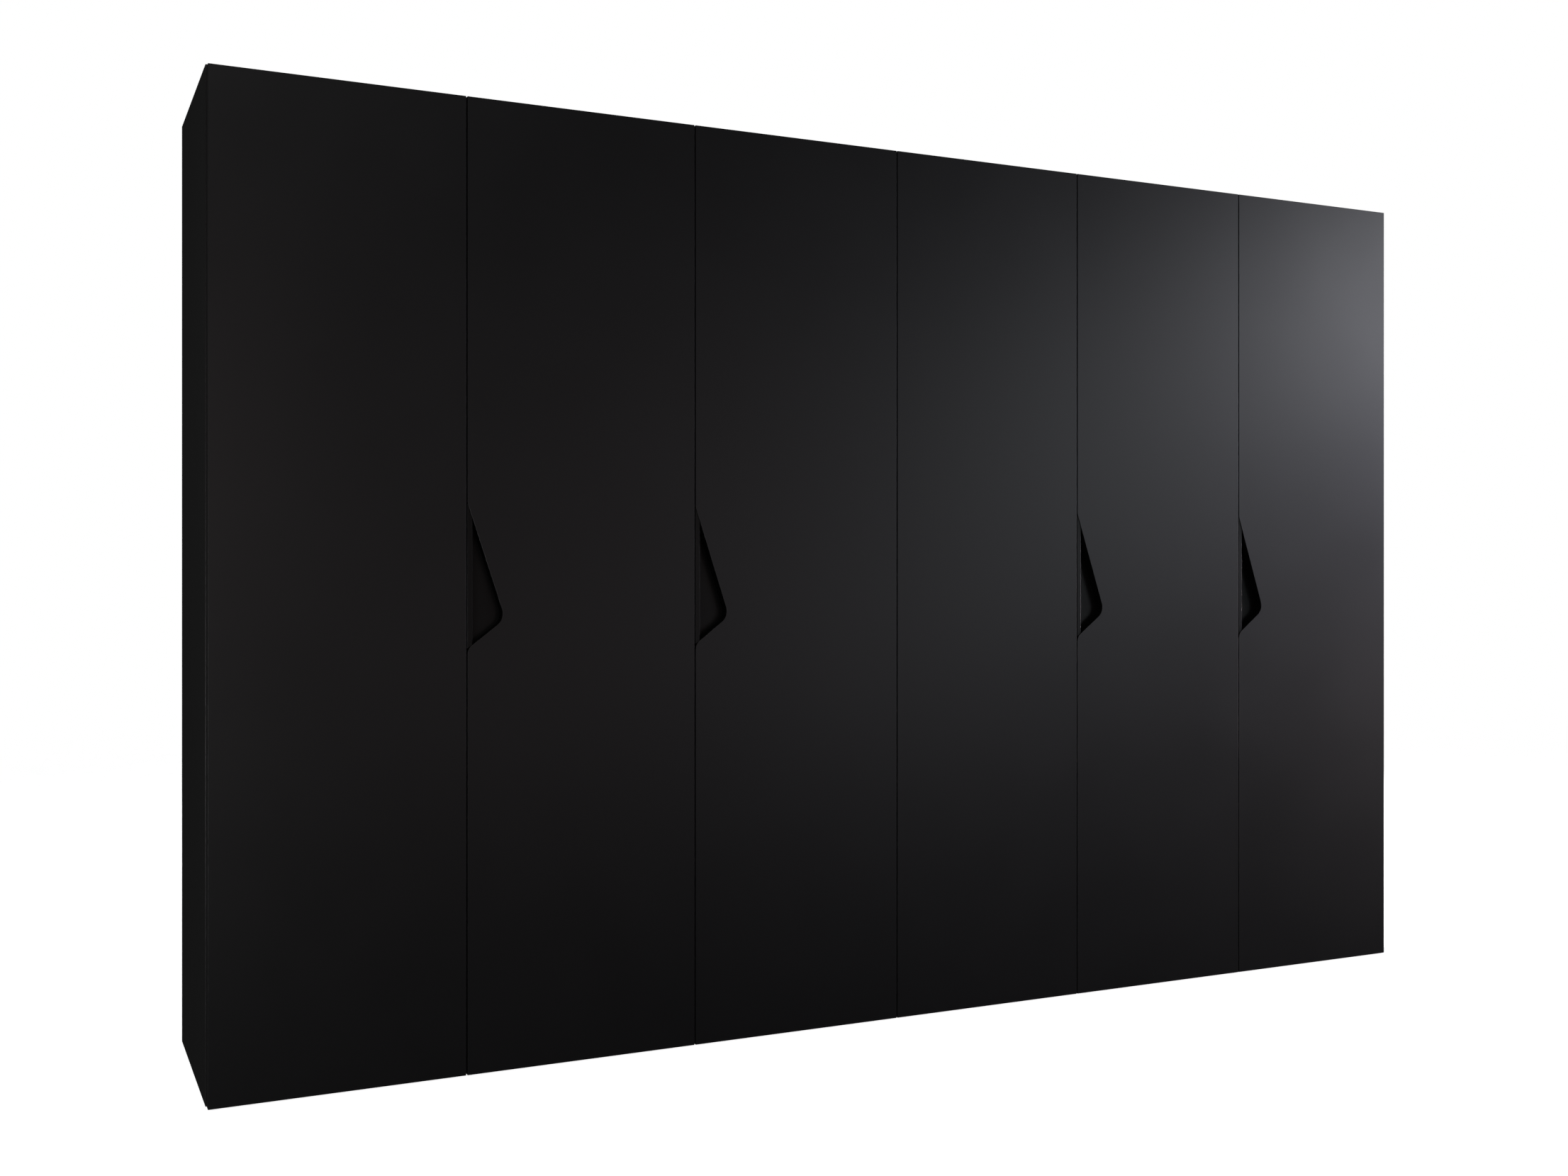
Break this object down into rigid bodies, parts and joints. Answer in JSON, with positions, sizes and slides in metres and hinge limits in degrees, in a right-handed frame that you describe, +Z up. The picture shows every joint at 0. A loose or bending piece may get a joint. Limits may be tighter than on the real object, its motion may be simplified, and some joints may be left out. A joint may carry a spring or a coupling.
{
  "type": "wardrobe with doors",
  "caption": "Wide free-standing wardrobe in satin black, with equal full-height hinged doors and sail-shaped recessed grips.",
  "frame": {"origin": "on the floor, at the middle of the footprint", "axes": "+X along the front to the right of someone facing the doors, +Y from the doors to the back panel, +Z up"},
  "size_m": [3, 0.52, 2],
  "materials": {
    "door_lacquer": "satin black lacquer on fibreboard",
    "carcass_board": "black melamine-faced chipboard",
    "interior_board": "linen-grey melamine-faced chipboard",
    "back_board": "thin hardboard, printed inside and raw outside",
    "grip_plastic": "fine-textured black moulding",
    "hinge_steel": "nickel-plated pressed steel",
    "rail_steel": "bright chrome plate"
  },
  "bodies": {
    "carcass": {"side_left": "carcass_board", "side_right": "carcass_board", "centre_side_left": "carcass_board", "centre_side_right": "carcass_board", "top_panel_left": "carcass_board", "top_panel_right": "carcass_board", "plinth_left": "carcass_board", "plinth_right": "carcass_board", "bottom_panel_left": "interior_board", "bottom_panel_right": "interior_board", "partition_left": "interior_board", "partition_right": "interior_board", "hat_shelf_left": "interior_board", "hat_shelf_right": "interior_board", "shelf_left_1": "interior_board", "shelf_left_2": "interior_board", "shelf_left_3": "interior_board", "shelf_left_4": "interior_board", "shelf_right_1": "interior_board", "shelf_right_2": "interior_board", "shelf_right_3": "interior_board", "shelf_right_4": "interior_board", "back_panel_left": "back_board", "back_panel_right": "back_board", "hanging_rail_left": "rail_steel", "hanging_rail_right": "rail_steel", "hinge_arm_1_bottom": "hinge_steel", "hinge_arm_1_top": "hinge_steel", "hinge_arm_2_bottom": "hinge_steel", "hinge_arm_2_top": "hinge_steel", "hinge_arm_3_bottom": "hinge_steel", "hinge_arm_3_top": "hinge_steel", "hinge_arm_4_bottom": "hinge_steel", "hinge_arm_4_top": "hinge_steel", "hinge_arm_5_bottom": "hinge_steel", "hinge_arm_5_top": "hinge_steel", "hinge_arm_6_bottom": "hinge_steel", "hinge_arm_6_top": "hinge_steel"},
    "door_leaf_1": {"door_1": "door_lacquer", "hinge_cup_1_bottom": "hinge_steel", "hinge_cup_1_top": "hinge_steel"},
    "door_leaf_2": {"door_2": "door_lacquer", "grip_2": "grip_plastic", "hinge_cup_2_bottom": "hinge_steel", "hinge_cup_2_top": "hinge_steel"},
    "door_leaf_3": {"door_3": "door_lacquer", "grip_3": "grip_plastic", "hinge_cup_3_bottom": "hinge_steel", "hinge_cup_3_top": "hinge_steel"},
    "door_leaf_4": {"door_4": "door_lacquer", "hinge_cup_4_bottom": "hinge_steel", "hinge_cup_4_top": "hinge_steel"},
    "door_leaf_5": {"door_5": "door_lacquer", "grip_5": "grip_plastic", "hinge_cup_5_bottom": "hinge_steel", "hinge_cup_5_top": "hinge_steel"},
    "door_leaf_6": {"door_6": "door_lacquer", "grip_6": "grip_plastic", "hinge_cup_6_bottom": "hinge_steel", "hinge_cup_6_top": "hinge_steel"}
  },
  "joints": [
    {"name": "door_1_hinge", "type": "hinge", "parent": "carcass", "child": "door_leaf_1", "pos_m": [-1.4965, -0.258, 1], "axis": [0, 0, -1], "range_deg": [0, 105]},
    {"name": "door_2_hinge", "type": "hinge", "parent": "carcass", "child": "door_leaf_2", "pos_m": [-0.5035, -0.258, 1], "axis": [0, 0, 1], "range_deg": [0, 105]},
    {"name": "door_3_hinge", "type": "hinge", "parent": "carcass", "child": "door_leaf_3", "pos_m": [-0.0035, -0.258, 1], "axis": [0, 0, 1], "range_deg": [0, 90]},
    {"name": "door_4_hinge", "type": "hinge", "parent": "carcass", "child": "door_leaf_4", "pos_m": [0.0035, -0.258, 1], "axis": [0, 0, -1], "range_deg": [0, 90]},
    {"name": "door_5_hinge", "type": "hinge", "parent": "carcass", "child": "door_leaf_5", "pos_m": [0.9965, -0.258, 1], "axis": [0, 0, 1], "range_deg": [0, 105]},
    {"name": "door_6_hinge", "type": "hinge", "parent": "carcass", "child": "door_leaf_6", "pos_m": [1.4965, -0.258, 1], "axis": [0, 0, 1], "range_deg": [0, 105]}
  ]
}
